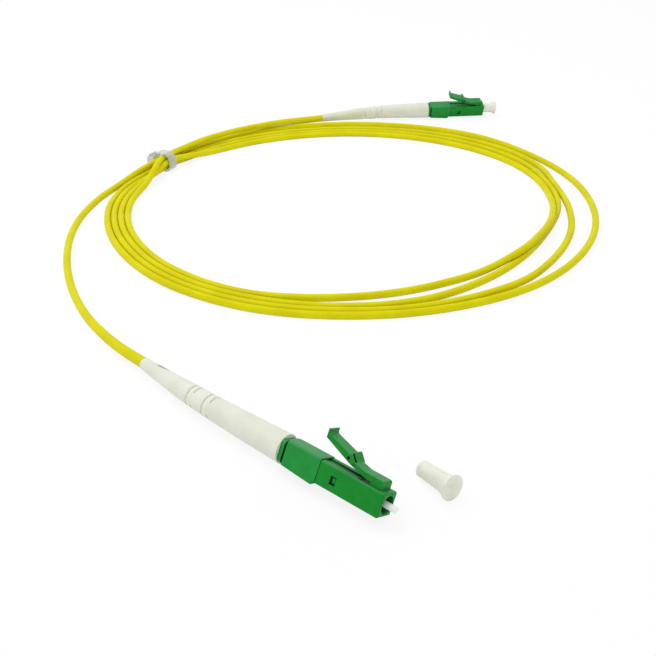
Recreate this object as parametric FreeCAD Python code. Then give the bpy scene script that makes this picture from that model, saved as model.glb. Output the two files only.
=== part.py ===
import FreeCAD, Part
import math
import os

# Fibre optic patch cable: two identical angled-contact plugs on one yellow cable that lies in a tied coil.
# Units are millimetres. The origin is where plug A's ferrule axis crosses the front face of its housing.
# +X is the way plug A goes into its socket and +Z is up. The cable lies on the floor below the origin.

Vec = FreeCAD.Vector
Rot = FreeCAD.Rotation
Place = FreeCAD.Placement

# Plug housing
plug_side = 4.5
housing_length = 13.85
housing_edge_radius = 0.3
front_chamfer = 0.25
front_bore_diameter = 3.5
front_bore_depth = 3.2
seat_bore_diameter = 2.36
seat_thickness = 0.8
cavity_side = 3.0
window_length = 1.3
window_height = 1.6
window_drop = 0.2
window_to_seam = 2.8
channel_width = 1.9
channel_depth = 0.3
channel_front_x = -4.5
pocket_depth = 0.4
pocket_clearance = 0.15
pocket_length = 2.6

# Latch, rising back from its hinge
latch_width = 2.9
latch_root_x = -1.2
latch_root_height = 1.6
latch_brow_radius = 0.45
hinge_x = -3.7
hinge_height = 1.1
knuckle_radius = 0.55
hinge_clearance = 0.05
arm_foot_length = 1.15
arm_front_slope = 0.26
arm_bend_length = 4.9
arm_rear_slope = 0.39
arm_length = 11.15
arm_flat_length = 2.0
arm_step_length = 5.6
arm_waist_thickness = 0.85
arm_thickness = 1.4
arm_tip_thickness = 0.93
thumb_lip_length = 0.35
thumb_lip_height = 0.9
thumb_lip_radius = 0.5
lug_span = 4.2
lug_start = 4.1
lug_end = 5.75
lug_ramp = 1.2
lug_rise = 0.18
lug_lift = 0.4
lug_edge_radius = 0.25
lug_slot_offset = 0.8
lug_slot_width = 0.6
lug_slot_depth = 0.75
lug_recess = 0.5
lug_recess_size = 0.6

# Rear body
rear_length = 9.35
rear_top_rise = 0.2
seam_gap = 0.14
rear_bottom_front = 2.8
rear_bottom_rear = 2.3
rear_edge_radius = 0.45
notch_length = 0.65
notch_height = 0.7
groove_width = 0.5
groove_depth = 0.6
collar_length = 0.85
collar_radius = 0.9
nose_gap = 1.75
nose_clearance = 0.05
tab_clearance = 0.3
tab_recess = 0.4
spring_seat_depth = 3.0

# Ferrule and what is behind it
ferrule_diameter = 1.249
ferrule_reach = 2.1
ferrule_grip = 1.9
ferrule_grip_taper = 0.02
ferrule_tip_chamfer = 0.18
ferrule_tip_angle = 8.0
fibre_diameter = 0.125
fibre_bore_clearance = 0.001
flange_across_corners = 2.84
flange_thickness = 1.2
flange_gap = 0.05
flange_tail_diameter = 1.6
flange_tail_length = 3.2
spring_wire = 0.26
spring_clearance = 0.09
spring_turns = 6
buffer_diameter = 0.9
buffer_clearance = 0.05
ferrule_travel = 1.0
buffer_gap = 0.25

# Crimped tail
post_plug_diameter = 2.4
post_plug_length = 6.0
post_tail_diameter = 2.8
post_tail_length = 6.3
post_ring_depth = 0.1
post_ring_count = 5
post_ring_width = 0.45
yarn_thickness = 0.15
sleeve_wall = 0.35
sleeve_neck_length = 3.2
sleeve_shoulder = 0.5

# Boot
boot_length = 44.0
boot_big_diameter = 6.0
boot_waist_diameter = 4.56
boot_waist_at = 27.3
boot_end_diameter = 2.7
boot_station = 3.0
boot_sleeve_clearance = 0.02
boot_cavity_spare = 0.3
boot_slot_places = (19.15, 20.95, 24.25, 26.0)
boot_slot_width = 0.55
boot_slot_depth = 0.4
boot_slot_sweep = 300.0
boot_slot_facing = -3.0
boot_slot_turn = 180.0
jacket_clearance = 0.02

# Dust cap
cap_length = 7.95
cap_bore_clearance = 0.055
cap_bore_depth = 5.6
cap_mouth_clearance = 0.15
cap_barrel_taper = 0.2
cap_flare_length = 2.2
cap_flange_diameter = 5.0
cap_rim = 0.35
cap_dish_depth = 0.7
cap_insert_spare = 0.3

# Cable, coil and tie
cable_diameter = 2.0
coil_height = 3.8
coil_edge_radius = 1.2
coil_centre = (-95.6, 103.8)
coil_oval_angle = 60.0
coil_inner_shift = 1.6
coil_inner_radius = 64.55
coil_ovalness = 2.25
coil_band_tied = 6.2
coil_band_fanned = 12.6
coil_band_side = 13.2
tie_angle = 193.7
tie_bundle_width = 6.4
tie_bundle_height = 5.3
tie_start = 0.1
tie_width = 3.8
tie_thickness = 0.5
tie_corner_radius = 2.4
tie_head_length = 4.4
tie_head_height = 2.6
tie_head_depth = 2.3
tie_head_sink = 1.2
tie_head_clearance = 0.3
tie_head_edge = 0.4
tie_tail_length = 0.8

# How plug A lies: its axis is level, its top leans over and its boot bends towards the cable
lean_a = -28.4
boot_bend_radius_a = 206.0
boot_bend_facing_a = -23.0

# Plug B lies behind the coil, with its boot's thin end beyond the outermost turn
boot_end_bearing_b = 133.8
boot_end_gap_b = 2.6
heading_b = 47.0
lean_b = 20.0
boot_bend_radius_b = 150.0
boot_bend_facing_b = 190.0

# Loose cap beside plug A
cap_place_a = (-1.95, 13.6)
cap_heading_a = -13.4

# The free cable between boot A and the coil, and between the coil and boot B, as height above the floor
lead_a_points = [
    (-75.5, 3.9, 1.6),
    (-84.6, 5.5, 1.1),
    (-95.3, 8.2, 1.0),
    (-107.2, 12.7, 1.0),
    (-119.2, 19.0, 1.0),
    (-130.2, 26.6, 1.0),
    (-139.8, 35.0, 1.0),
    (-147.8, 44.6, 1.0),
    (-154.2, 55.3, 1.0),
    (-159.2, 66.8, 1.3),
    (-163.0, 78.0, 1.9),
]
lead_b_points = [
    (-159.8, 131.3, 3.0),
    (-157.7, 141.4, 3.0),
    (-154.7, 152.0, 2.7),
]

# Sizes that follow from the ones above
half = plug_side / 2
cable_radius = cable_diameter / 2
ferrule_radius = ferrule_diameter / 2
seat_x = -front_bore_depth - seat_thickness
window_x = -housing_length + window_to_seam
rear_end_x = -housing_length - rear_length
hinge_z = half + hinge_height
flange_front_x = seat_x - flange_gap
flange_rear_x = flange_front_x - flange_thickness
flange_tail_x = flange_rear_x - flange_tail_length
nose_front_x = flange_rear_x - nose_gap
spring_seat_x = nose_front_x - spring_seat_depth
ferrule_rear_x = flange_front_x - ferrule_grip
spring_radius = flange_tail_diameter / 2 + spring_clearance + spring_wire / 2
spring_bore_radius = spring_radius + spring_wire / 2 + spring_clearance / 2
buffer_front_x = ferrule_rear_x - ferrule_travel - buffer_gap
buffer_bore_radius = buffer_diameter / 2 + buffer_clearance
post_front_x = rear_end_x + post_plug_length
post_rear_x = rear_end_x - post_tail_length
yarn_radius = post_tail_diameter / 2 + yarn_thickness
sleeve_radius = yarn_radius + sleeve_wall
sleeve_neck_x = post_rear_x - sleeve_shoulder
sleeve_rear_x = sleeve_neck_x - sleeve_neck_length
boot_straight = rear_end_x - sleeve_rear_x + boot_cavity_spare
boot_curved = boot_length - boot_straight
cap_mouth_radius = front_bore_diameter / 2 - cap_mouth_clearance
cap_barrel_radius = cap_mouth_radius + cap_barrel_taper
cap_bore_radius = ferrule_radius + cap_bore_clearance
cap_flange_radius = cap_flange_diameter / 2
cap_seat_x = -front_bore_depth + cap_insert_spare
coil_inner_long = coil_inner_radius + coil_ovalness
coil_inner_short = coil_inner_radius - coil_ovalness
coil_outer_long = coil_inner_long + (coil_band_tied + coil_band_fanned) / 2
coil_outer_short = coil_inner_short + coil_band_side
coil_outer_shift = coil_inner_shift + (coil_band_fanned - coil_band_tied) / 2


def lowest_below_axis(lean):
    """How far the plug's lowest corner or its boot lies below the ferrule axis when the plug leans."""
    tilt = math.radians(abs(lean))
    corner = half * math.sin(tilt) + rear_bottom_front * math.cos(tilt)
    return max(corner, boot_big_diameter / 2)


floor_z = -lowest_below_axis(lean_a)


def box(x0, x1, y0, y1, z0, z1):
    return Part.makeBox(x1 - x0, y1 - y0, z1 - z0, Vec(x0, y0, z0))


def bar(x0, x1, side):
    """A square bar along X, centred on the axis."""
    return box(x0, x1, -side / 2, side / 2, -side / 2, side / 2)


def rod(x0, x1, diameter):
    """A round bar along X on the axis."""
    return Part.makeCylinder(diameter / 2, x1 - x0, Vec(x0, 0, 0), Vec(1, 0, 0))


def turned(points):
    """A solid turned about the X axis from points (x, radius)."""
    outline = Part.makePolygon([Vec(x, 0, r) for x, r in points + points[:1]])
    return Part.Face(outline).revolve(Vec(0, 0, 0), Vec(1, 0, 0), 360)


def side_profile(points, width):
    """A solid of the given width, centred on Y, from points (x, z)."""
    outline = Part.makePolygon([Vec(x, -width / 2, z) for x, z in points + points[:1]])
    return Part.Face(outline).extrude(Vec(0, width, 0))


def long_edges(shape, above=-math.inf):
    """The edges along X that lie above a height."""
    found = []
    for edge in shape.Edges:
        start = edge.Vertexes[0].Point
        run = edge.Vertexes[-1].Point - start
        if run.Length > 1e-6 and abs(run.x) > 0.99 * run.Length and start.z > above:
            found.append(edge)
    return found


def front_edges(shape, x):
    """The edges that lie in the plane at x."""
    return [e for e in shape.Edges if all(abs(v.X - x) < 1e-6 for v in e.Vertexes)]


def arm_underside(distance):
    """Height of the lever's underside, at a distance behind the hinge: level, then two slopes."""
    front = max(0.0, min(distance, arm_bend_length) - arm_foot_length) * arm_front_slope
    rear = max(0.0, distance - arm_bend_length) * arm_rear_slope
    return hinge_z - knuckle_radius + front + rear


def make_housing():
    body = bar(-housing_length, 0, plug_side)
    body = body.makeFillet(housing_edge_radius, long_edges(body))
    body = body.makeChamfer(front_chamfer, front_edges(body, 0))
    body = body.fuse(make_latch_root())
    body = body.cut(rod(-front_bore_depth, 0, front_bore_diameter))
    body = body.cut(rod(seat_x, -front_bore_depth, seat_bore_diameter))
    body = body.cut(bar(-housing_length, seat_x, cavity_side))
    window_z = -window_drop
    window = box(window_x, window_x + window_length, -plug_side, plug_side,
                 window_z - window_height / 2, window_z + window_height / 2)
    body = body.cut(window)
    channel = box(-housing_length, channel_front_x, -channel_width / 2, channel_width / 2,
                  half - channel_depth, plug_side)
    body = body.cut(channel)
    pocket_half = latch_width / 2 + pocket_clearance
    pocket = box(hinge_x - pocket_length, hinge_x, -pocket_half, pocket_half, half - pocket_depth, half)
    return body.cut(pocket).removeSplitter()


def make_latch_root():
    """The fixed block that the lever grows from, hollowed to the lever's round knuckle."""
    knuckle_top = hinge_z + knuckle_radius
    block = side_profile([(latch_root_x, half - front_chamfer), (latch_root_x, half + latch_root_height),
                          (hinge_x, knuckle_top), (hinge_x, half - front_chamfer)], latch_width)
    brow = [e for e in front_edges(block, latch_root_x) if e.BoundBox.ZMin > half]
    block = block.makeFillet(latch_brow_radius, brow)
    hollow = Part.makeCylinder(knuckle_radius + hinge_clearance, plug_side,
                               Vec(hinge_x, -half, hinge_z), Vec(0, 1, 0))
    return block.cut(hollow)


def make_latch_lever():
    knuckle = Part.makeCylinder(knuckle_radius, latch_width,
                                Vec(hinge_x, -latch_width / 2, hinge_z), Vec(0, 1, 0))
    lip = arm_length - thumb_lip_length
    lip_foot = arm_underside(lip) + arm_tip_thickness
    outline = [(0, hinge_z + knuckle_radius),
               (arm_flat_length, hinge_z + knuckle_radius),
               (lug_start, arm_underside(lug_start) + arm_waist_thickness),
               (arm_step_length, arm_underside(arm_step_length) + arm_thickness),
               (lip, lip_foot),
               (lip, lip_foot + thumb_lip_height),
               (arm_length, lip_foot + thumb_lip_height),
               (arm_length, arm_underside(arm_length)),
               (arm_bend_length, arm_underside(arm_bend_length)),
               (arm_foot_length, hinge_z - knuckle_radius),
               (0, hinge_z - knuckle_radius)]
    arm = side_profile([(hinge_x - d, z) for d, z in outline], latch_width)
    crook = [e for e in front_edges(arm, hinge_x - lip) if abs(e.BoundBox.ZMax - lip_foot) < 1e-6]
    arm = arm.makeFillet(thumb_lip_radius, [e for e in crook if e.BoundBox.YLength > latch_width / 2])
    return knuckle.fuse(arm).fuse(make_lugs()).cut(make_lug_slot()).removeSplitter()


def lug_top():
    return arm_underside(lug_end) + arm_thickness + lug_rise


def make_lugs():
    """The ridge across the lever whose two ends are the catches, with a recess in each end."""
    ramp_end = lug_start + lug_ramp
    top = lug_top()
    heel = lug_start + lug_ramp / 2
    profile = [(lug_start, arm_underside(lug_start) + arm_waist_thickness * 0.8),
               (ramp_end, top),
               (lug_end, top),
               (lug_end, arm_underside(lug_end) + lug_lift),
               (heel, arm_underside(heel) + lug_lift)]
    ridge = side_profile([(hinge_x - d, z) for d, z in profile], lug_span)
    across = [e for e in ridge.Edges if abs(e.BoundBox.YLength - lug_span) < 1e-6]
    ridge = ridge.makeFillet(lug_edge_radius, [e for e in across if e.BoundBox.ZMin > top - lug_lift / 4])
    recess_x = hinge_x - (heel + lug_end) / 2
    recess_z = arm_underside((heel + lug_end) / 2) + lug_lift + lug_recess_size
    for side in (-1, 1):
        outer = side * lug_span / 2
        inner = outer - side * lug_recess
        ridge = ridge.cut(box(recess_x - lug_recess_size / 2, recess_x + lug_recess_size / 2,
                              min(outer, inner), max(outer, inner),
                              recess_z - lug_recess_size / 2, recess_z + lug_recess_size / 2))
    return ridge


def make_lug_slot():
    """The slot down the ridge's ramp, on one side of the lever."""
    ramp_end = lug_start + lug_ramp
    low = arm_underside(lug_start) + arm_waist_thickness * 0.8 - lug_slot_depth / 2
    slot = side_profile([(hinge_x - lug_start, low),
                         (hinge_x - ramp_end, lug_top() - lug_slot_depth),
                         (hinge_x - ramp_end, lug_top() + lug_slot_depth),
                         (hinge_x - lug_start, lug_top() + lug_slot_depth)], lug_slot_width)
    slot.translate(Vec(0, -lug_slot_offset, 0))
    return slot


def make_rear_body():
    collar_x = rear_end_x + collar_length
    groove_x = collar_x + groove_width
    front_x = -housing_length - seam_gap
    top = half + rear_top_rise
    shell = side_profile([(front_x, top), (collar_x, top), (collar_x, -rear_bottom_rear),
                          (front_x - notch_length, -rear_bottom_front),
                          (front_x - notch_length, -rear_bottom_front + notch_height),
                          (front_x, -rear_bottom_front + notch_height)], plug_side)
    shell = shell.makeFillet(rear_edge_radius, long_edges(shell, above=0))
    for side in (-1, 1):
        outer = side * half
        inner = outer - side * groove_depth
        groove = box(collar_x, groove_x, min(outer, inner), max(outer, inner), -plug_side, plug_side)
        shell = shell.cut(groove)
    collar = bar(rear_end_x, collar_x, plug_side)
    collar = collar.makeFillet(collar_radius, long_edges(collar))
    body = shell.fuse(collar).fuse(make_nose())
    body = body.cut(rod(rear_end_x, post_front_x, post_plug_diameter))
    body = body.cut(rod(post_front_x, nose_front_x, 2 * buffer_bore_radius + 2 * buffer_clearance))
    body = body.cut(rod(spring_seat_x, nose_front_x, 2 * spring_bore_radius))
    return body.removeSplitter()


def make_nose():
    """The square front of the rear body, with the two snap tabs that fill the housing's windows."""
    side = cavity_side - 2 * nose_clearance
    nose = bar(-housing_length - notch_length, nose_front_x, side)
    tab_x0 = window_x + tab_clearance
    tab_x1 = window_x + window_length - tab_clearance
    tab_z = window_height / 2 - tab_clearance
    tabs = box(tab_x0, tab_x1, -half + tab_recess, half - tab_recess,
               -window_drop - tab_z, -window_drop + tab_z)
    return nose.fuse(tabs)


def make_ferrule():
    tip = ferrule_reach
    ferrule = turned([(ferrule_rear_x, 0), (ferrule_rear_x, ferrule_radius - ferrule_grip_taper),
                      (flange_front_x, ferrule_radius),
                      (tip - ferrule_tip_chamfer, ferrule_radius),
                      (tip, ferrule_radius - ferrule_tip_chamfer), (tip, 0)])
    ferrule = ferrule.cut(tip_wedge())
    return ferrule.cut(rod(ferrule_rear_x, tip, fibre_diameter + 2 * fibre_bore_clearance))


def tip_wedge():
    """What the angled polish takes off the ferrule and its fibre, with the high side on top."""
    wedge = box(0, plug_side, -half, half, -half, half)
    slant = Place(Vec(ferrule_reach - ferrule_radius * math.tan(math.radians(ferrule_tip_angle)), 0, 0),
                  Rot(Vec(0, 1, 0), ferrule_tip_angle))
    wedge.Placement = slant
    return wedge


def make_fibre():
    return rod(ferrule_rear_x, ferrule_reach, fibre_diameter).cut(tip_wedge())


def make_ferrule_flange():
    """Six-sided so that it can't turn, with a hollow tail for the buffer."""
    corners = [Vec(flange_rear_x, flange_across_corners / 2 * math.cos(math.radians(60 * k)),
                   flange_across_corners / 2 * math.sin(math.radians(60 * k))) for k in range(7)]
    head = Part.Face(Part.makePolygon(corners)).extrude(Vec(flange_thickness, 0, 0))
    flange = head.fuse(rod(flange_tail_x, flange_rear_x, flange_tail_diameter))
    flange = flange.cut(turned([(ferrule_rear_x, 0), (ferrule_rear_x, ferrule_radius - ferrule_grip_taper),
                                (flange_front_x, ferrule_radius), (flange_front_x, 0)]))
    return flange.cut(rod(flange_tail_x, ferrule_rear_x, 2 * buffer_bore_radius)).removeSplitter()


def make_spring():
    """A helix from the flange to its seat in the nose, along X."""
    length = flange_rear_x - spring_seat_x - spring_wire
    helix = Part.makeHelix(length / spring_turns, length, spring_radius)
    start = Vec(spring_radius, 0, 0)
    section = Part.Wire(Part.makeCircle(spring_wire / 2, start, Vec(0, 1, 0)))
    spring = Part.Wire(helix).makePipeShell([section], True, True)
    spring.Placement = Place(Vec(spring_seat_x + spring_wire / 2, 0, 0), Rot(Vec(0, 1, 0), 90))
    return spring


def make_buffer():
    return rod(sleeve_neck_x, buffer_front_x, buffer_diameter)


def make_back_post():
    post = rod(rear_end_x, post_front_x, post_plug_diameter)
    post = post.fuse(rod(post_rear_x, rear_end_x, post_tail_diameter))
    pitch = post_tail_length / (post_ring_count + 1)
    for k in range(post_ring_count):
        x = post_rear_x + pitch * (k + 1)
        ring = rod(x - post_ring_width / 2, x + post_ring_width / 2, post_tail_diameter)
        core_diameter = post_tail_diameter - 2 * post_ring_depth
        ring = ring.cut(rod(x - post_ring_width, x + post_ring_width, core_diameter))
        post = post.cut(ring)
    bore_diameter = 2 * buffer_bore_radius + 2 * buffer_clearance
    return post.cut(rod(post_rear_x, post_front_x, bore_diameter)).removeSplitter()


def make_yarn():
    layer = rod(post_rear_x, rear_end_x, 2 * yarn_radius)
    return layer.cut(rod(post_rear_x, rear_end_x, post_tail_diameter))


def make_crimp_sleeve():
    """A thin tube over the yarn, necked down onto the jacket behind it."""
    neck = cable_radius + sleeve_wall
    return turned([(rear_end_x, yarn_radius), (rear_end_x, sleeve_radius), (post_rear_x, sleeve_radius),
                   (sleeve_neck_x, neck), (sleeve_rear_x, neck), (sleeve_rear_x, cable_radius),
                   (sleeve_neck_x, cable_radius), (post_rear_x, yarn_radius)])


def boot_station_place(distance, bend_radius, bend_facing):
    """Centre and backward direction of the boot's line, at a distance from its big end."""
    bent = max(0.0, distance - boot_straight)
    turn = bent / bend_radius
    side = Vec(0, math.cos(math.radians(bend_facing)), math.sin(math.radians(bend_facing)))
    along = min(distance, boot_straight) + bend_radius * math.sin(turn)
    centre = Vec(rear_end_x - along, 0, 0) + side * (bend_radius * (1 - math.cos(turn)))
    return centre, Vec(-math.cos(turn), 0, 0) + side * math.sin(turn)


def boot_radius(distance):
    """Outer radius: a long gentle taper down to the waist and a quicker one behind it."""
    if distance < boot_waist_at:
        share = distance / boot_waist_at
        return (boot_big_diameter + (boot_waist_diameter - boot_big_diameter) * share) / 2
    share = (distance - boot_waist_at) / (boot_length - boot_waist_at)
    return (boot_waist_diameter + (boot_end_diameter - boot_waist_diameter) * share) / 2


def boot_line(bend_radius, bend_facing, start=0.0):
    """The boot's centre line from a distance to its thin end, a straight run and a tangent arc."""
    stations = [start, boot_straight, boot_straight + boot_curved / 2, boot_length]
    a, b, c, d = [boot_station_place(s, bend_radius, bend_facing)[0] for s in stations]
    return Part.Wire([Part.LineSegment(a, b).toShape(), Part.Arc(b, c, d).toShape()])


def round_along(wire, diameter, heading):
    """A round solid swept along a wire that starts with the given heading."""
    start = wire.OrderedVertexes[0].Point
    section = Part.Wire(Part.makeCircle(diameter / 2, start, heading))
    return wire.makePipeShell([section], True, True)


def make_boot(bend_radius, bend_facing):
    bent_count = math.ceil(boot_curved / boot_station)
    stations = [0.0] + [boot_straight + boot_curved * k / bent_count for k in range(bent_count + 1)]
    rings = []
    for distance in stations:
        centre, back = boot_station_place(distance, bend_radius, bend_facing)
        rings.append(Part.Wire(Part.makeCircle(boot_radius(distance), centre, back)))
    boot = Part.makeLoft(rings, True, True)
    cavity = rod(rear_end_x - boot_straight, rear_end_x, 2 * (sleeve_radius + boot_sleeve_clearance))
    line = boot_line(bend_radius, bend_facing)
    boot = boot.cut(cavity).cut(round_along(line, cable_diameter + 2 * jacket_clearance, Vec(-1, 0, 0)))
    for k, distance in enumerate(boot_slot_places):
        facing = boot_slot_facing + boot_slot_turn * k
        boot = boot.cut(boot_slot(distance, facing, bend_radius, bend_facing))
    return boot


def boot_slot(distance, facing, bend_radius, bend_facing):
    """A slot round part of the boot, square to its line, whose middle faces the given way."""
    outer = boot_radius(distance) + boot_slot_depth
    inner = boot_radius(distance) - boot_slot_depth
    up = Vec(0, 0, 1)
    slot = Part.makeCylinder(outer, boot_slot_width, up * (-boot_slot_width / 2), up, boot_slot_sweep)
    slot = slot.cut(Part.makeCylinder(inner, 2 * boot_slot_width, up * -boot_slot_width, up))
    centre, back = boot_station_place(distance, bend_radius, bend_facing)
    square = Rot(up, back * -1)
    half_sweep = math.radians(boot_slot_sweep / 2)
    middle = square.multVec(Vec(math.cos(half_sweep), math.sin(half_sweep), 0))
    swing = facing - math.degrees(math.atan2(middle.z, middle.y))
    slot.Placement = Place(centre, Rot(Vec(1, 0, 0), swing).multiply(square))
    return slot


def make_jacket_end(bend_radius, bend_facing):
    """The jacket from the back post to the boot's thin end."""
    line = boot_line(bend_radius, bend_facing, start=rear_end_x - post_rear_x + sleeve_shoulder)
    return round_along(line, cable_diameter, Vec(-1, 0, 0))


def make_dust_cap():
    """Open end at x = 0, flared and dished grip at the other end."""
    flare_x = cap_length - cap_flare_length
    cap = turned([(0, cap_bore_radius), (0, cap_mouth_radius), (flare_x, cap_barrel_radius),
                  (cap_length - 2 * cap_rim, cap_flange_radius - cap_rim),
                  (cap_length - cap_rim, cap_flange_radius),
                  (cap_length, cap_flange_radius), (cap_length, cap_flange_radius - cap_rim),
                  (cap_length - cap_dish_depth, 0), (cap_bore_depth, 0),
                  (cap_bore_depth, cap_bore_radius)])
    return cap


def oval(shift, long_radius, short_radius, height):
    """An upright oval block on the floor, as tall as the coil."""
    turn = math.radians(coil_oval_angle)
    centre = Vec(coil_centre[0] + shift * math.cos(turn), coil_centre[1] + shift * math.sin(turn), floor_z)
    major = max(long_radius, short_radius)
    minor = min(long_radius, short_radius)
    quarter = 0 if long_radius >= short_radius else 90
    face = Part.Face(Part.Wire(Part.Ellipse(Vec(0, 0, 0), major, minor).toShape()))
    face.Placement = Place(centre, Rot(Vec(0, 0, 1), coil_oval_angle + quarter))
    return face.extrude(Vec(0, 0, height))


def oval_reach(shift, long_radius, short_radius, angle):
    """Distance from the coil's centre to an oval, in a direction in degrees."""
    off = math.radians(angle - coil_oval_angle)
    a = (math.cos(off) / long_radius) ** 2 + (math.sin(off) / short_radius) ** 2
    b = -2 * shift * math.cos(off) / long_radius ** 2
    c = (shift / long_radius) ** 2 - 1
    return (-b + math.sqrt(b * b - 4 * a * c)) / (2 * a)


def make_coil():
    """The outer shape of the four turns, an oval ring with a neck where the tie holds it."""
    ring = oval(coil_outer_shift, coil_outer_long, coil_outer_short, coil_height)
    ring = ring.cut(oval(coil_inner_shift, coil_inner_long, coil_inner_short, coil_height))
    ring = ring.makeFillet(coil_edge_radius, [e for e in ring.Edges if e.BoundBox.ZLength < 1e-6])
    room = max(tie_head_length, tie_width) + 2 * tie_head_clearance
    gap = Part.makeBox(coil_outer_long, room, 2 * coil_height,
                       Vec(coil_inner_short / 2, -room / 2, floor_z - coil_height / 2))
    return ring.cut(put_at_tie(gap)).fuse(put_at_tie(tie_block(tie_thickness, room)))


def tie_reach():
    """Distance from the coil's centre to the tie's inner face."""
    inner = oval_reach(coil_inner_shift, coil_inner_long, coil_inner_short, tie_angle)
    return inner + tie_start - tie_thickness


def tie_block(inset, width):
    """A rounded block that the tie's outside would fill, made smaller by inset all round."""
    spare = 2 * tie_thickness - 2 * inset
    corner = Vec(tie_reach() + inset, -width / 2, floor_z + inset)
    block = Part.makeBox(tie_bundle_width + spare, width, tie_bundle_height + spare, corner)
    along = [e for e in block.Edges if e.BoundBox.YLength > width / 2]
    return block.makeFillet(tie_corner_radius - inset, along)


def put_at_tie(shape):
    shape.Placement = Place(Vec(coil_centre[0], coil_centre[1], 0), Rot(Vec(0, 0, 1), tie_angle))
    return shape


def make_cable_tie():
    """Strap, the head on its outer side and the stub of the tail that stands out of the head."""
    outer = tie_reach() + tie_bundle_width + 2 * tie_thickness
    middle_z = floor_z + tie_thickness + tie_bundle_height / 2
    head = Part.makeBox(tie_head_sink + tie_head_depth, tie_head_length, tie_head_height,
                        Vec(outer - tie_head_sink, -tie_head_length / 2, middle_z - tie_head_height / 2))
    head = head.makeFillet(tie_head_edge, head.Edges)
    tail = Part.makeBox(tie_thickness, tie_width, tie_tail_length + tie_head_height / 2,
                        Vec(outer + (tie_head_depth - tie_thickness) / 2, -tie_width / 2, middle_z))
    tie = tie_block(0, tie_width).fuse(head).fuse(tail)
    hollow = tie_block(tie_thickness, 2 * max(tie_head_length, tie_width))
    return put_at_tie(tie.cut(hollow).removeSplitter())


def cord_wire(points):
    """Straight runs joined by tangent arcs, each as large as its two runs allow."""
    edges = []
    radii = []
    at = points[0]
    for before, corner, after in zip(points, points[1:], points[2:]):
        back = (before - corner).normalize()
        ahead = (after - corner).normalize()
        half_turn = (math.pi - back.getAngle(ahead)) / 2
        trim = 0.45 * min((before - corner).Length, (after - corner).Length)
        radius = trim / math.tan(half_turn)
        enter = corner + back * trim
        leave = corner + ahead * trim
        inward = (back + ahead).normalize()
        middle = corner + inward * (radius / math.cos(half_turn) - radius)
        edges.append(Part.LineSegment(at, enter).toShape())
        edges.append(Part.Arc(enter, middle, leave).toShape())
        radii.append(round(radius, 1))
        at = leave
    edges.append(Part.LineSegment(at, points[-1]).toShape())
    return Part.Wire(edges), radii


def make_lead(name, points):
    wire, radii = cord_wire(points)
    heading = (points[1] - points[0]).normalize()
    tube = round_along(wire, cable_diameter, heading)
    share = tube.Volume / (math.pi * cable_radius ** 2 * wire.Length)
    print(name, "length", round(wire.Length, 1), "volume share", round(share, 4), "radii", radii)
    return tube


def on_floor(points):
    return [Vec(x, y, floor_z + height) for x, y, height in points]


def plug_place(front, heading, lean):
    """Where a plug lies on the floor: its front point in plan, its heading in plan and its lean."""
    upright = Vec(front[0], front[1], floor_z + lowest_below_axis(lean))
    return Place(upright, Rot(Vec(0, 0, 1), heading).multiply(Rot(Vec(1, 0, 0), lean)))


def boot_end(place, lean, bend_radius, bend_facing):
    """The middle of the boot's thin end and the way that the cable leaves it."""
    centre, back = boot_station_place(boot_length, bend_radius, bend_facing - lean)
    return place.multVec(centre), place.Rotation.multVec(back)


def front_of_b():
    """Plug B's front point in plan, from where its boot's thin end lies beside the coil."""
    loose = plug_place((0, 0), heading_b, lean_b)
    end = boot_end(loose, lean_b, boot_bend_radius_b, boot_bend_facing_b)[0]
    reach = oval_reach(coil_outer_shift, coil_outer_long, coil_outer_short, boot_end_bearing_b)
    reach += boot_end_gap_b
    bearing = math.radians(boot_end_bearing_b)
    return (coil_centre[0] + reach * math.cos(bearing) - end.x,
            coil_centre[1] + reach * math.sin(bearing) - end.y)


def save(name, shape):
    if not shape.isValid() or len(shape.Solids) != 1:
        print("CHECK", name, "valid", shape.isValid(), "solids", len(shape.Solids))
    shape.exportStep(os.path.join("parts", name + ".step"))


def save_plug(letter, place, lean, bend_radius, bend_facing):
    """All the pieces of one plug. The boot's bend and slots face a way in the row, whatever the lean."""
    pieces = {
        "housing": make_housing(),
        "latch_lever": make_latch_lever(),
        "rear_body": make_rear_body(),
        "ferrule": make_ferrule(),
        "fibre": make_fibre(),
        "ferrule_flange": make_ferrule_flange(),
        "spring": make_spring(),
        "buffer": make_buffer(),
        "back_post": make_back_post(),
        "yarn": make_yarn(),
        "crimp_sleeve": make_crimp_sleeve(),
        "boot": make_boot(bend_radius, bend_facing - lean),
        "jacket_end": make_jacket_end(bend_radius, bend_facing - lean),
    }
    for name, shape in pieces.items():
        shape.Placement = place.multiply(shape.Placement)
        save(name + "_" + letter, shape)


def loose_cap_place():
    """The loose cap rolls onto its flange and its mouth, so its axis tips up towards the flange."""
    tip = math.degrees(math.atan2(cap_flange_radius - cap_mouth_radius, cap_length - cap_rim))
    rotation = Rot(Vec(0, 0, 1), cap_heading_a).multiply(Rot(Vec(0, 1, 0), -tip))
    height = cap_mouth_radius * math.cos(math.radians(tip))
    return Place(Vec(cap_place_a[0], cap_place_a[1], floor_z + height), rotation)


def fitted_cap_place(place):
    """The cap pushed into the plug's front bore."""
    return place.multiply(Place(Vec(cap_seat_x, 0, 0), Rot()))


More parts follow.
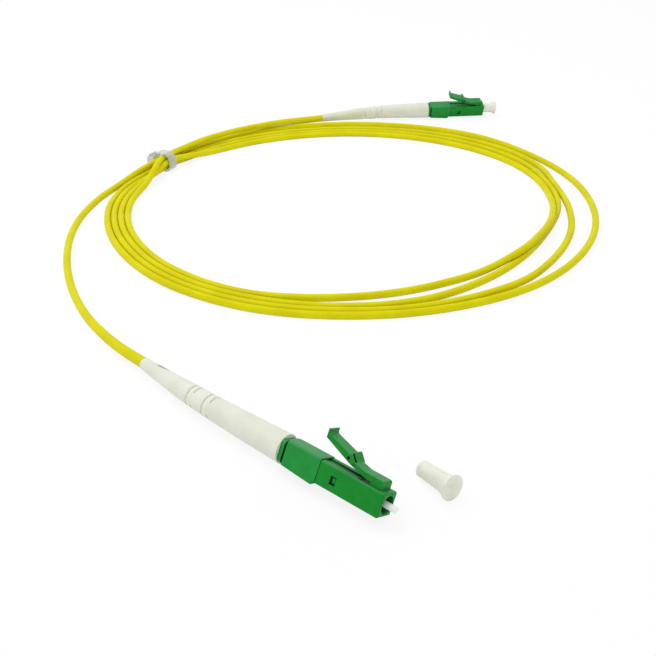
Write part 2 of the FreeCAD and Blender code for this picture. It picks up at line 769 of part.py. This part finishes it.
def main():
    os.makedirs("parts", exist_ok=True)
    place_a = plug_place((0, 0), 0, lean_a)
    place_b = plug_place(front_of_b(), heading_b, lean_b)
    save_plug("a", place_a, lean_a, boot_bend_radius_a, boot_bend_facing_a)
    save_plug("b", place_b, lean_b, boot_bend_radius_b, boot_bend_facing_b)
    for letter, place in (("a", loose_cap_place()), ("b", fitted_cap_place(place_b))):
        cap = make_dust_cap()
        cap.Placement = place
        save("dust_cap_" + letter, cap)
    end_a, back_a = boot_end(place_a, lean_a, boot_bend_radius_a, boot_bend_facing_a)
    end_b, back_b = boot_end(place_b, lean_b, boot_bend_radius_b, boot_bend_facing_b)
    print("boot ends", end_a, back_a, end_b, back_b, "front B", place_b.Base, "floor", floor_z)
    save("cable_lead_a", make_lead("lead A", [end_a] + on_floor(lead_a_points)))
    save("cable_lead_b", make_lead("lead B", on_floor(lead_b_points) + [end_b]))
    save("cable_coil", make_coil())
    save("cable_tie", make_cable_tie())


main()
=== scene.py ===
import math

import bpy
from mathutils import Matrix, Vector


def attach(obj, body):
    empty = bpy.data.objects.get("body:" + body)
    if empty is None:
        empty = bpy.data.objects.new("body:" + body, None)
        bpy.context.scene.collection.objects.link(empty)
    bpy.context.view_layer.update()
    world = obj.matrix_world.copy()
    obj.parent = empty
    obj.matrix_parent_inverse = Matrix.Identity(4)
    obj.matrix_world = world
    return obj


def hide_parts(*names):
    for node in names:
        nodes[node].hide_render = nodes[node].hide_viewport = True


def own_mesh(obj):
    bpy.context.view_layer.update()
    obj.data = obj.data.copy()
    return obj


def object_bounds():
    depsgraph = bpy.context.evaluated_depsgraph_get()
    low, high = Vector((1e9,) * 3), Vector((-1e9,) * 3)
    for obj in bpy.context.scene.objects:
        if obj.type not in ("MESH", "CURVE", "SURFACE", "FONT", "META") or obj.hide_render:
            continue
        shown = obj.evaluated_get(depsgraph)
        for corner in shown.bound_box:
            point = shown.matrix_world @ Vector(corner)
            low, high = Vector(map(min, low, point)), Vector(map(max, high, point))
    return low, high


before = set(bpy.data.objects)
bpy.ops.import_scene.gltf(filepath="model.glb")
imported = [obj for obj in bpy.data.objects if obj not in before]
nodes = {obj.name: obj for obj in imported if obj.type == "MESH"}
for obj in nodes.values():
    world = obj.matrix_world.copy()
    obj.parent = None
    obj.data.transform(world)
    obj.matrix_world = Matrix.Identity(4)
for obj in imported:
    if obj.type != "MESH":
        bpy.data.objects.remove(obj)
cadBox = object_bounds()
mm = 0.001
floorZ = cadBox[0][2]  # the part's lowest point lies on the floor
print("frame loaded, floor at", round(floorZ / mm, 3), "mm")


def addObject(name, data):
    made = bpy.data.objects.new(name, data)
    bpy.context.scene.collection.objects.link(made)
    return made


# Shader kit: a socket that takes part in sums, and a finish that adds nodes

class Wire:
    def __init__(self, finish, socket):
        self.finish = finish
        self.socket = socket

    def sum(self, operation, first, second):
        return self.finish.node("ShaderNodeMath", {"operation": operation}, {0: first, 1: second})["Value"]

    def __add__(self, other):
        return self.sum("ADD", self, other)

    def __radd__(self, other):
        return self.sum("ADD", other, self)

    def __sub__(self, other):
        return self.sum("SUBTRACT", self, other)

    def __rsub__(self, other):
        return self.sum("SUBTRACT", other, self)

    def __mul__(self, other):
        return self.sum("MULTIPLY", self, other)

    def __rmul__(self, other):
        return self.sum("MULTIPLY", other, self)


class Finish:  # sizes, radii, reaches and depths are in mm
    def __init__(self, name, home="materials"):  # or "worlds"
        self.owner = getattr(bpy.data, home).new(name)
        self.owner.use_nodes = True
        self.tree = self.owner.node_tree
        self.tree.nodes.clear()

    def node(self, kind, settings=None, sockets=None):
        made = self.tree.nodes.new(kind)
        for key, value in (settings or {}).items():
            setattr(made, key, value)
        for key, value in (sockets or {}).items():
            if isinstance(value, Wire):
                self.tree.links.new(value.socket, made.inputs[key])
            else:
                made.inputs[key].default_value = value
        found = {}
        for output in made.outputs:
            if output.enabled:
                found.setdefault(output.name, Wire(self, output))
        return found

    def place(self):
        return self.node("ShaderNodeTexCoord")["Object"]

    def noise(self, size, detail=3.0, rough=0.55, stretch=None):
        place = self.place()
        if stretch:
            place = self.node("ShaderNodeMapping", None, {"Vector": place, "Scale": stretch})["Vector"]
        sockets = {"Vector": place, "Scale": 1 / (size * mm), "Detail": detail, "Roughness": rough}
        return self.node("ShaderNodeTexNoise", None, sockets)["Fac"]

    def between(self, value, low, high):
        sockets = {"Value": value, "From Min": low, "From Max": high}
        return self.node("ShaderNodeMapRange", {"interpolation_type": "SMOOTHSTEP"}, sockets)["Result"]

    def mix(self, share, first, second):  # a Mix node takes its colours at sockets 6 and 7
        return self.node("ShaderNodeMix", {"data_type": "RGBA"}, {0: share, 6: first, 7: second})["Result"]

    def twoTone(self, pattern, tones, low=0.3, high=0.7):  # two colours that drift into each other
        return self.mix(self.between(pattern, low, high), colour(tones[0]), colour(tones[1]))

    def bevelNormal(self, radius, samples=6):
        return self.node("ShaderNodeBevel", {"samples": samples}, {"Radius": radius * mm})["Normal"]

    def edges(self, radius, low=0.01, high=0.2):  # 1 on a sharp edge, 0 on a flat face
        flat = self.node("ShaderNodeNewGeometry")["Normal"]
        both = {0: self.bevelNormal(radius), 1: flat}
        agree = self.node("ShaderNodeVectorMath", {"operation": "DOT_PRODUCT"}, both)["Value"]
        return self.between(1 - agree, low, high)

    def hollow(self, reach, low=0.2, high=0.75, samples=8):  # 1 in a crevice, 0 in the open
        clear = self.node("ShaderNodeAmbientOcclusion", {"samples": samples}, {"Distance": reach * mm})["AO"]
        return self.between(1 - clear, low, high)

    def spot(self, centre, size, low=0.0, high=0.6):  # 1 in the middle of an oval patch, 0 outside it
        fromCentre = {0: self.place(), 1: [value * mm for value in centre]}
        off = self.node("ShaderNodeVectorMath", {"operation": "SUBTRACT"}, fromCentre)["Vector"]
        inSizes = {0: off, 1: [value * mm for value in size]}
        off = self.node("ShaderNodeVectorMath", {"operation": "DIVIDE"}, inSizes)["Vector"]
        away = self.node("ShaderNodeVectorMath", {"operation": "LENGTH"}, {0: off})["Value"]
        return self.between(1 - away, low, high)

    def facing(self, low, high):  # 1 where a face looks up
        normal = self.node("ShaderNodeNewGeometry")["Normal"]
        height = self.node("ShaderNodeSeparateXYZ", None, {"Vector": normal})["Z"]
        return self.between(height, low, high)

    def bump(self, height, strength, depth, normal=None):
        sockets = {"Height": height, "Strength": strength, "Distance": depth * mm}
        if normal:
            sockets["Normal"] = normal
        return self.node("ShaderNodeBump", None, sockets)["Normal"]

    def seen(self):  # 1 where the backdrop itself is seen, 0 where it only gives light
        rays = self.node("ShaderNodeLightPath")
        return self.between(rays["Is Camera Ray"] + rays["Is Glossy Ray"] + rays["Is Transmission Ray"], 0, 1)

    def whiteLight(self, kind, strength):  # an Emission or a Background
        return self.node("ShaderNode" + kind, None, {"Color": (1, 1, 1, 1), "Strength": strength})[kind]

    def surface(self, sockets):
        shader = self.node("ShaderNodeBsdfPrincipled", None, sockets)["BSDF"]
        self.node("ShaderNodeOutputMaterial", None, {"Surface": shader})
        return self.owner


def colour(screen):  # red, green and blue as they are read off a screen, 0 to 255
    def one(value):
        value /= 255
        return value / 12.92 if value <= 0.04045 else ((value + 0.055) / 1.055) ** 2.4
    return tuple(one(value) for value in screen) + (1.0,)


def rising(pattern, start, rise):  # a value that grows with the pattern
    return start + rise * pattern


def softGlow(weight, radius, scale):  # light that enters a plastic and comes out close by, scale in mm
    return {"Subsurface Weight": weight, "Subsurface Radius": radius, "Subsurface Scale": scale * mm}


# Camera

cameraSetup = {
    "place": (58.73, -86.30, 98.80),  # mm
    "turn": 39.79,        # degrees left of +Y
    "down": 31.388,       # degrees below level
    "focus": 822.74,      # pixels
    "picture": 656,       # pixels across
    "sensor": 36,         # mm
    "clip": (0.005, 20),  # metres, nearest and farthest
}


def makeCamera():
    data = bpy.data.cameras.new("camera")
    data.sensor_width = cameraSetup["sensor"]
    data.lens = cameraSetup["sensor"] * cameraSetup["focus"] / cameraSetup["picture"]
    data.clip_start, data.clip_end = cameraSetup["clip"]
    camera = addObject("camera", data)
    camera.location = Vector(cameraSetup["place"]) * mm
    camera.rotation_euler = (math.radians(90 - cameraSetup["down"]), 0, math.radians(cameraSetup["turn"]))
    bpy.context.scene.camera = camera


makeCamera()
print("camera placed")


# Cable: lead from boot A, four turns, lead to boot B, all one spline

cable = {
    "diameter": 2.0,     # mm
    "length": 1.98,      # metres between the two boots
    "roundness": 5,      # the jacket's section has 4 sides and 2 more for each
    "stepsPerPoint": 8,  # along the spline
    "swell": [1.29, 1.25, 1.13, 1.04],  # the jacket is thicker at a boot's end
    # x, y and height above the floor, mm
    "bootEndA": (-67.050, 2.532, 2.458),
    "leadA": [(-75.6, 3.55, 1.6), (-84.7, 5.1, 1.2), (-95.45, 7.7, 1.1), (-107.3, 12.45, 1.0),
              (-119.3, 18.9, 1.0), (-130.25, 26.5, 1.0), (-139.85, 34.95, 1.0), (-147.95, 44.5, 1.0),
              (-154.2, 55.3, 1.0)],
    "leadB": [(-161.6, 135.5, 3.5), (-158.6, 145.5, 3.2), (-154.6, 153.6, 2.9)],
    "bootEndB": (-150.509, 161.059, 2.746),
}

coil = {
    "centre": (-95.6, 103.8),  # mm
    "startAngle": 190.8,  # degrees from +X, from where the turns run clockwise
    "ovalAngle": 60.0,    # degrees from +X, the oval's long axis
    "radius": 64.55,      # mm to the inner side of the turns
    "ovalness": 2.25,     # mm more on the long axis and less across it
    "shift": 1.6,         # mm that the oval stands off along its long axis
    "stepsPerTurn": 60,
    "pushOut": 0.9,       # the spline runs inside its points, so they stand out by this power
    "tieAt": -2.9,        # degrees on from the start
    "tieLift": 0.6,       # mm, because the strap passes under the turns here
    "tieSpread": 6.0,     # degrees
    # degrees on from the start, mm out of the innermost place, mm above the floor
    "turns": [
        [(-25, 9.0, 1), (-20, 7.4, 1.2), (-15, 5.9, 2.2), (-10, 4.6, 2.65), (-5, 4.1, 2.85),
         (0, 3.92, 2.9), (6, 4.5, 2.8), (12, 5.5, 2.3), (18, 7.2, 1.7), (24, 9.0, 1.2), (30, 10.4, 1),
         (40, 11.4, 1), (60, 12.2, 1), (80, 13.0, 1), (100, 14.0, 1), (110, 13.1, 1), (120, 11.9, 1),
         (130, 11.5, 1), (140, 11.4, 1), (151, 11.2, 1), (165, 11.45, 1), (180, 11.8, 1), (195, 12.15, 1),
         (203, 12.0, 1), (210, 11.6, 1), (220, 10.95, 1), (230, 10.4, 1), (240, 9.7, 1), (250, 9.3, 1),
         (260, 8.7, 1), (270, 7.8, 1), (280, 7.0, 1), (290, 6.1, 1), (300, 5.4, 1), (315, 5.2, 1),
         (330, 5.5, 1), (340, 5.0, 1), (345, 4.3, 1), (350, 3.5, 1), (355, 3.35, 1.04)],
        [(0, 3.35, 1.04), (10, 3.8, 1), (20, 4.7, 1), (30, 5.6, 1), (60, 6.2, 1), (80, 6.9, 1),
         (100, 8.2, 1), (110, 8.3, 1), (120, 8.0, 1), (130, 6.7, 1), (136, 4.8, 1), (142, 3.6, 1),
         (150, 3.45, 1), (160, 3.95, 1), (170, 5.05, 1), (180, 6.05, 1), (190, 7.3, 1), (196, 8.35, 1),
         (201, 8.75, 1), (210, 8.6, 1), (220, 8.5, 1), (230, 8.2, 1), (240, 7.5, 1), (250, 7.05, 1),
         (260, 6.45, 1), (270, 5.7, 1), (280, 4.9, 1), (290, 4.05, 1), (300, 3.35, 1), (315, 3.2, 1),
         (330, 3.45, 1), (340, 2.75, 1), (345, 1.8, 1), (350, 1.05, 1), (355, 1.35, 1.04)],
        [(0, 1.35, 1.04), (10, 1.9, 1), (20, 2.4, 1), (30, 2.7, 1), (60, 3.0, 1), (80, 3.6, 1),
         (100, 4.2, 1), (115, 4.3, 1), (125, 3.8, 1), (132, 2.9, 1), (140, 1.7, 1), (150, 1.2, 1),
         (160, 0.0, 1), (170, -1.2, 1), (180, -1.15, 1), (190, -0.05, 1), (200, 1.4, 1), (210, 3.1, 1),
         (220, 4.85, 1), (230, 5.5, 1), (240, 5.35, 1), (250, 4.8, 1), (260, 4.2, 1), (270, 3.6, 1),
         (280, 2.75, 1), (290, 2.0, 1), (300, 1.35, 1), (315, 1.2, 1), (330, 1.4, 1), (340, 0.75, 1.05),
         (345, -0.1, 1.75), (350, -0.4, 2.5), (355, 0.35, 2.75)],
        [(0, 0.65, 2.85), (5, 0.1, 2.35), (10, -0.15, 1.65), (15, -0.25, 1.15), (20, -0.3, 1), (30, 0.0, 1),
         (60, 0.4, 1), (100, 0.5, 1), (123, 0.6, 1), (140, -0.2, 1), (150, -1.0, 1), (155, -1.25, 1.8),
         (160, -1.45, 2.45), (165, -1.35, 2.8), (170, -1.15, 3.0), (180, -1.15, 3.05), (190, -0.7, 2.85),
         (195, -0.85, 2.35), (200, -1.0, 1.65), (206, -1.15, 1.1), (213, -1.15, 1), (220, -0.65, 1),
         (230, 0.05, 1), (240, 0.6, 1), (250, 1.25, 1), (260, 1.95, 1), (270, 1.5, 1), (280, 0.65, 1),
         (290, 0.0, 1), (300, -0.65, 1), (315, -0.8, 1), (330, -0.6, 1), (335, -0.7, 1), (340, -1.35, 1.5),
         (345, -1.75, 3.35), (350, -0.3, 4.7), (355, 1.75, 4.25), (360, 2.3, 4.1), (366, 2.9, 4.4),
         (372, 3.9, 4.5), (380, 5.5, 4.35), (390, 8.1, 3.85)],
    ],
}


def innerReach(angle):  # from the coil's centre to the inner side of its turns
    off = math.radians(angle - coil["ovalAngle"])
    return coil["radius"] + coil["ovalness"] * math.cos(2 * off) + coil["shift"] * math.cos(off)


def along(marks, at):  # how far out and how high, on a smooth line through the marks
    last = len(marks) - 1
    here = max(number for number in range(last) if marks[number][0] <= at)
    before, start, end, after = [marks[min(max(here + step, 0), last)] for step in (-1, 0, 1, 2)]
    width = end[0] - start[0]
    share = (at - start[0]) / width
    square, cube = share ** 2, share ** 3
    values = []
    for column in (1, 2):
        slopeIn = (end[column] - before[column]) / (end[0] - before[0]) * width
        slopeOut = (after[column] - start[column]) / (after[0] - start[0]) * width
        values.append((2 * cube - 3 * square + 1) * start[column] + (cube - 2 * square + share) * slopeIn
                      + (3 * square - 2 * cube) * end[column] + (cube - square) * slopeOut)
    return values


def coilPoints():
    marks = [(360 * turn + at, out, height)
             for turn, rows in enumerate(coil["turns"]) for at, out, height in rows]
    radius = cable["diameter"] / 2
    step = 360 / coil["stepsPerTurn"]
    push = math.cos(math.radians(step / 2)) ** coil["pushOut"]
    points = []
    at = float(marks[0][0])
    while at <= marks[-1][0]:
        out, height = along(marks, at)
        fromTie = (at - coil["tieAt"] + 180) % 360 - 180
        lift = coil["tieLift"] * math.exp(-(fromTie / coil["tieSpread"]) ** 2)
        angle = coil["startAngle"] - at
        reach = (innerReach(angle) + radius + out) / push
        points.append((coil["centre"][0] + reach * math.cos(math.radians(angle)),
                       coil["centre"][1] + reach * math.sin(math.radians(angle)),
                       max(height, radius) + lift))
        at += step
    return points


def makeCable():
    points = [cable["bootEndA"]] + cable["leadA"] + coilPoints() + cable["leadB"] + [cable["bootEndB"]]
    data = bpy.data.curves.new("patchCable", "CURVE")
    data.dimensions = "3D"
    data.bevel_depth = cable["diameter"] / 2 * mm
    data.bevel_resolution = cable["roundness"]
    data.resolution_u = cable["stepsPerPoint"]
    data.use_fill_caps = True
    spline = data.splines.new("NURBS")
    spline.points.add(len(points) - 1)
    for point, (x, y, height) in zip(spline.points, points):
        point.co = (x * mm, y * mm, floorZ + height * mm, 1)
    for number, share in enumerate(cable["swell"]):
        spline.points[number].radius = share
        spline.points[len(points) - 1 - number].radius = share
    spline.order_u = 3
    spline.use_endpoint_u = True
    return addObject("patchCable", data)


jacketLook = {
    "drift": {"size": 9, "detail": 2.0},
    "grain": {"size": 0.35, "detail": 4.0, "rough": 0.6},
    "tones": ((223, 217, 6), (215, 207, 4)),
    "fleck": (230, 222, 8),
    "fleckRange": (0.62, 0.8),  # of the grain
    "fleckShare": 0.25,
    "creaseShade": (186, 164, 0),    # painted shade where the turns lie close
    "creaseShadeReach": 1.2,
    "creaseShadeShare": 0.3,
    "rough": (0.42, 0.14),      # smoothest, and what the grain adds
    "bump": {"strength": 0.12, "depth": 0.03},
    "shine": 0.07,
    "glow": {"weight": 0.08, "radius": (1.0, 0.7, 0.05), "scale": 0.4},
}


def makeYellowJacket(look):
    finish = Finish("yellowJacket")
    drift = finish.noise(**look["drift"])
    grain = finish.noise(**look["grain"])
    base = finish.twoTone(drift, look["tones"])
    fleck = finish.between(grain, *look["fleckRange"]) * look["fleckShare"]
    base = finish.mix(fleck, base, colour(look["fleck"]))
    # painted shade: the jacket's colour darkens where the turns lie close
    creaseShade = finish.hollow(look["creaseShadeReach"]) * look["creaseShadeShare"]
    base = finish.mix(creaseShade, base, colour(look["creaseShade"]))
    return finish.surface({
        "Base Color": base,
        "Roughness": rising(grain, *look["rough"]),
        "Normal": finish.bump(grain, **look["bump"]),
        "Specular IOR Level": look["shine"],
        **softGlow(**look["glow"]),
    })


yellowJacket = makeYellowJacket(jacketLook)
patchCable = makeCable()
patchCable.data.materials.append(yellowJacket)
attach(patchCable, "cable")
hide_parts("cable_lead_a", "cable_coil", "cable_lead_b")
print("cable laid")


# Finishes of the plugs, the boots, the caps and the tie

plugEnds = ("a", "b")

greenLook = {
    "flow": {"size": 2.2},
    "grain": {"size": 0.09, "rough": 0.6},
    "frontTones": ((8, 130, 36), (14, 138, 42)),   # housings and levers
    "rearSheenTones": ((22, 139, 52), (30, 147, 60)),   # rear bodies, a lighter copy of the green: painted sheen
    "top": (76, 150, 108),                         # a painted sheen on faces that look up
    "topRange": (0.6, 0.95),
    "topShare": 0.35,
    # painted highlight along the sharp edges
    "edge": (70, 178, 98),
    "edgeRadius": 0.12,
    "edgeShare": 0.35,
    # painted shade in creases, grooves and seams
    "creaseShade": (20, 92, 38),
    "creaseShadeReach": 1.3,
    "pitShade": (22, 28, 12),                           # painted shade deep in the bores and under the levers
    "pitShadeHollow": {"reach": 3.5, "low": 0.65, "high": 0.9},
    "rough": (0.36, 0.12),
    "bump": {"strength": 0.1, "depth": 0.02},
    "bevel": 0.1,
    "shine": 0.16,
}


def makeGreenPlastic(name, look, tones):
    finish = Finish(name)
    flow = finish.noise(**look["flow"])
    grain = finish.noise(**look["grain"])
    base = finish.twoTone(flow, tones)
    # painted sheen: faces that look up are tinted a pale teal
    base = finish.mix(finish.facing(*look["topRange"]) * look["topShare"], base, colour(look["top"]))
    # painted highlight: sharp edges are lightened
    base = finish.mix(finish.edges(look["edgeRadius"]) * look["edgeShare"], base, colour(look["edge"]))
    # painted shade: creases, grooves and seams are darkened
    base = finish.mix(finish.hollow(look["creaseShadeReach"]), base, colour(look["creaseShade"]))
    # painted shade: near black deep in the bores and under the levers
    base = finish.mix(finish.hollow(**look["pitShadeHollow"]), base, colour(look["pitShade"]))
    return finish.surface({
        "Base Color": base,
        "Roughness": rising(grain, *look["rough"]),
        "Normal": finish.bump(grain, normal=finish.bevelNormal(look["bevel"]), **look["bump"]),
        "Specular IOR Level": look["shine"],
    })


bootLook = {
    "flow": {"size": 5},
    "grain": {"size": 0.14, "rough": 0.6},
    "tones": ((221, 224, 208), (229, 231, 218)),
    # painted light that lifts the shade in the boot's slots
    "slot": (250, 249, 228),
    "slotLightReach": 0.7,
    "slotLightShare": 0.7,
    # a dark grey patch painted on top of boot A's thin part, broken up by the grain
    "darkPatch": (84, 86, 78),
    "darkPatchPlace": {"centre": (-60.6, 2.6, 0.75), "size": (2.6, 0.9, 0.8)},  # on top of boot A's thin part
    "darkPatchRange": (0.3, 0.6),  # of the grain
    "rough": (0.5, 0.15),
    "bump": {"strength": 0.12, "depth": 0.02},
    "bevel": 0.12,
    "glow": {"weight": 0.35, "radius": (1.0, 0.95, 0.75), "scale": 1.0},
}


def makeBootRubber(look):
    finish = Finish("bootRubber")
    flow = finish.noise(**look["flow"])
    grain = finish.noise(**look["grain"])
    base = finish.twoTone(flow, look["tones"])
    # painted light: the boot's slots are lifted toward a pale cream
    base = finish.mix(finish.hollow(look["slotLightReach"]) * look["slotLightShare"], base, colour(look["slot"]))
    # a dark grey patch on boot A's thin part
    darkPatch = finish.spot(**look["darkPatchPlace"]) * finish.between(grain, *look["darkPatchRange"])
    base = finish.mix(darkPatch, base, colour(look["darkPatch"]))
    return finish.surface({
        "Base Color": base,
        "Roughness": rising(grain, *look["rough"]),
        "Normal": finish.bump(grain, normal=finish.bevelNormal(look["bevel"]), **look["bump"]),
        **softGlow(**look["glow"]),
    })


capLook = {
    "flow": {"size": 1.8},
    "grain": {"size": 0.12, "rough": 0.6},
    "tones": ((228, 229, 213), (236, 237, 225)),
    # painted shade in the cap's dished face and other hollows
    "creaseShade": (194, 196, 166),
    "creaseShadeReach": 2.5,
    "creaseShadeShare": 0.5,
    "rough": (0.42, 0.15),
    "bump": {"strength": 0.1, "depth": 0.02},
    "bevel": 0.1,
    "glow": {"weight": 0.25, "radius": (1.0, 0.9, 0.7), "scale": 0.8},
}


def makeCapPlastic(look):
    finish = Finish("capPlastic")
    flow = finish.noise(**look["flow"])
    grain = finish.noise(**look["grain"])
    base = finish.twoTone(flow, look["tones"])
    # painted shade: the dished face and hollows are darkened
    base = finish.mix(finish.hollow(look["creaseShadeReach"]) * look["creaseShadeShare"], base, colour(look["creaseShade"]))
    return finish.surface({
        "Base Color": base,
        "Roughness": rising(grain, *look["rough"]),
        "Normal": finish.bump(grain, normal=finish.bevelNormal(look["bevel"]), **look["bump"]),
        **softGlow(**look["glow"]),
    })


zirconiaLook = {
    "cloud": {"size": 0.5, "detail": 2.0},
    "tones": ((240, 240, 238), (247, 247, 247)),
    "rough": (0.16, 0.08),
    "bevel": 0.04,
    "coat": 0.4,
}


def makeZirconia(look):
    finish = Finish("zirconia")
    cloud = finish.noise(**look["cloud"])
    return finish.surface({
        "Base Color": finish.twoTone(cloud, look["tones"]),
        "Roughness": rising(cloud, *look["rough"]),
        "Normal": finish.bevelNormal(look["bevel"]),
        "Coat Weight": look["coat"],
    })


tieLook = {
    "haze": {"size": 1.6, "detail": 2.0},
    "tones": ((200, 206, 190), (216, 220, 206)),
    "rough": (0.28, 0.15),
    "bump": {"strength": 0.1, "depth": 0.05},
    "bevel": 0.1,
    "alpha": (0.52, 0.15),  # clearest, and what the haze adds
    "ior": 1.53,
}


def makeTieNylon(look):
    finish = Finish("tieNylon")
    haze = finish.noise(**look["haze"])
    return finish.surface({
        "Base Color": finish.twoTone(haze, look["tones"]),
        "Roughness": rising(haze, *look["rough"]),
        "Normal": finish.bump(haze, normal=finish.bevelNormal(look["bevel"]), **look["bump"]),
        "Alpha": rising(haze, *look["alpha"]),
        "IOR": look["ior"],
    })


# tones from dark to light, smoothest, and the size of the brush marks
brassLook = {"tones": ((190, 182, 164), (222, 216, 200)), "rough": 0.2, "markSize": 1.0}
steelLook = {"tones": ((170, 172, 176), (205, 207, 210)), "rough": 0.22, "markSize": 0.8}
crimpLook = {"tones": ((180, 180, 182), (214, 214, 214)), "rough": 0.28, "markSize": 1.0}
brushLook = {
    "noise": {"detail": 4.0, "rough": 0.6, "stretch": (1.0, 14.0, 14.0)},
    "roughen": 0.15,
    "bump": {"strength": 0.08, "depth": 0.02},
}


def makeMetal(name, look):
    finish = Finish(name)
    brushed = finish.noise(look["markSize"], **brushLook["noise"])
    return finish.surface({
        "Base Color": finish.twoTone(brushed, look["tones"]),
        "Roughness": rising(brushed, look["rough"], brushLook["roughen"]),
        "Metallic": 1.0,
        "Normal": finish.bump(brushed, **brushLook["bump"]),
    })


yarnLook = {
    "strand": {"size": 1.2, "detail": 4.0, "rough": 0.6, "stretch": (1.0, 10.0, 10.0)},
    "tones": ((196, 160, 62), (232, 205, 110)),
    "toneRange": (0.35, 0.65),
    "rough": (0.6, 0.2),
    "bump": {"strength": 0.4, "depth": 0.05},
}


def makeYarn(look):
    finish = Finish("aramidYarn")
    strand = finish.noise(**look["strand"])
    return finish.surface({
        "Base Color": finish.twoTone(strand, look["tones"], *look["toneRange"]),
        "Roughness": rising(strand, *look["rough"]),
        "Normal": finish.bump(strand, **look["bump"]),
    })


glassLook = {
    "cloud": {"size": 0.05, "detail": 2.0},
    "tones": ((190, 205, 210), (220, 232, 235)),
    "rough": (0.08, 0.05),
    "ior": 1.46,
}


def makeGlass(look):
    finish = Finish("glassFibre")
    cloud = finish.noise(**look["cloud"])
    return finish.surface({
        "Base Color": finish.twoTone(cloud, look["tones"]),
        "Roughness": rising(cloud, *look["rough"]),
        "IOR": look["ior"],
    })


bufferLook = {
    "grain": {"size": 0.3},
    "tones": ((225, 225, 222), (238, 238, 235)),
    "rough": (0.4, 0.15),
}


def makeBuffer(look):
    finish = Finish("bufferPlastic")
    grain = finish.noise(**look["grain"])
    return finish.surface({
        "Base Color": finish.twoTone(grain, look["tones"]),
        "Roughness": rising(grain, *look["rough"]),
    })


finishes = {
    "green_plastic": makeGreenPlastic("greenPlastic", greenLook, greenLook["frontTones"]),
    "boot_rubber": makeBootRubber(bootLook),
    "cap_plastic": makeCapPlastic(capLook),
    "zirconia": makeZirconia(zirconiaLook),
    "tie_nylon": makeTieNylon(tieLook),
    "nickel_brass": makeMetal("nickelBrass", brassLook),
    "spring_steel": makeMetal("springSteel", steelLook),
    "crimp_metal": makeMetal("crimpMetal", crimpLook),
    "aramid": makeYarn(yarnLook),
    "glass_fibre": makeGlass(glassLook),
    "buffer_plastic": makeBuffer(bufferLook),
    "yellow_jacket": yellowJacket,
}
# a lighter copy of the green for the rear bodies, a painted sheen
rearSheenGreen = makeGreenPlastic("greenRearSheen", greenLook, greenLook["rearSheenTones"])
pieceFinish = {
    "housing": "green_plastic", "latch_lever": "green_plastic", "rear_body": "green_plastic",
    "ferrule": "zirconia", "fibre": "glass_fibre", "ferrule_flange": "nickel_brass", "spring": "spring_steel",
    "buffer": "buffer_plastic", "back_post": "nickel_brass", "yarn": "aramid", "crimp_sleeve": "crimp_metal",
    "boot": "boot_rubber", "jacket_end": "yellow_jacket", "dust_cap": "cap_plastic",
}


def dress(name, slot):
    piece = nodes[name]
    piece.data.materials.clear()
    piece.data.materials.append(finishes[slot])


for end in plugEnds:
    for kind, slot in pieceFinish.items():
        dress(kind + "_" + end, slot)
    nodes["rear_body_" + end].data.materials[0] = rearSheenGreen
dress("cable_tie", "tie_nylon")
print("finishes on", 2 * len(pieceFinish) + 1, "pieces")


# Springs: each sits between the flange and its seat in the rear body; here it is copied as it is, with its
# own mesh, and carried with its ferrule unit


def makeSpring(end):
    source = nodes["spring_" + end]
    piece = addObject("returnSpring" + end.upper(), source.data.copy())
    piece.matrix_world = source.matrix_world
    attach(piece, "ferrule_unit_" + end)
    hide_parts("spring_" + end)
    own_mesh(piece)


bpy.context.view_layer.update()
for end in plugEnds:
    makeSpring(end)
print("springs made")


# Floor, light and backdrop

studio = {
    "floorSize": 4.0,      # metres
    "floorShare": 0.15,    # how much of the floor's own shading shows on the white
    "paper": {"size": 3},
    "paperRange": (0.3, 0.7),
    "paperTones": (0.97, 0.99),
    "whiteStrength": 1.0,  # of the backdrop where it is seen
    "skyStrength": 0.78,   # of the sky as a light
    "lamps": [
        # place in mm, size in mm, watts
        ((-330, 10, 560), 420, 1.3),
    ],
    "lampsLookAt": (-70, 70, 0),
}


def makeWhitePaper():
    finish = Finish("whiteFloor")
    paper = finish.between(finish.noise(**studio["paper"]), *studio["paperRange"])
    tones = [(level, level, level, 1) for level in studio["paperTones"]]
    tint = finish.mix(paper, tones[0], tones[1])
    dull = finish.node("ShaderNodeBsdfDiffuse", None, {"Color": tint})["BSDF"]
    white = finish.whiteLight("Emission", studio["whiteStrength"])
    share = finish.seen() * (1 - studio["floorShare"])
    both = finish.node("ShaderNodeMixShader", None, {0: share, 1: dull, 2: white})["Shader"]
    finish.node("ShaderNodeOutputMaterial", None, {"Surface": both})
    return finish.owner


def makeFloor():
    half = studio["floorSize"] / 2
    corners = [(-half, -half, floorZ), (half, -half, floorZ), (half, half, floorZ), (-half, half, floorZ)]
    mesh = bpy.data.meshes.new("floor")
    mesh.from_pydata(corners, [], [(0, 1, 2, 3)])
    mesh.materials.append(makeWhitePaper())
    floor = addObject("floor", mesh)


def makeSky():
    finish = Finish("studio", "worlds")
    sky = finish.whiteLight("Background", studio["skyStrength"])
    white = finish.whiteLight("Background", studio["whiteStrength"])
    both = finish.node("ShaderNodeMixShader", None, {0: finish.seen(), 1: sky, 2: white})["Shader"]
    finish.node("ShaderNodeOutputWorld", None, {"Surface": both})
    bpy.context.scene.world = finish.owner


def makeLamps():
    for number, (place, size, watts) in enumerate(studio["lamps"]):
        data = bpy.data.lights.new("lamp%d" % number, "AREA")
        data.size = size * mm
        data.energy = watts
        lamp = addObject("lamp%d" % number, data)
        lamp.location = Vector(place) * mm
        towards = Vector(studio["lampsLookAt"]) * mm - lamp.location
        lamp.rotation_euler = towards.to_track_quat("-Z", "Y").to_euler()


makeFloor()
makeSky()
makeLamps()
bpy.context.scene.view_settings.view_transform = "Standard"
print("floor and lamps set")
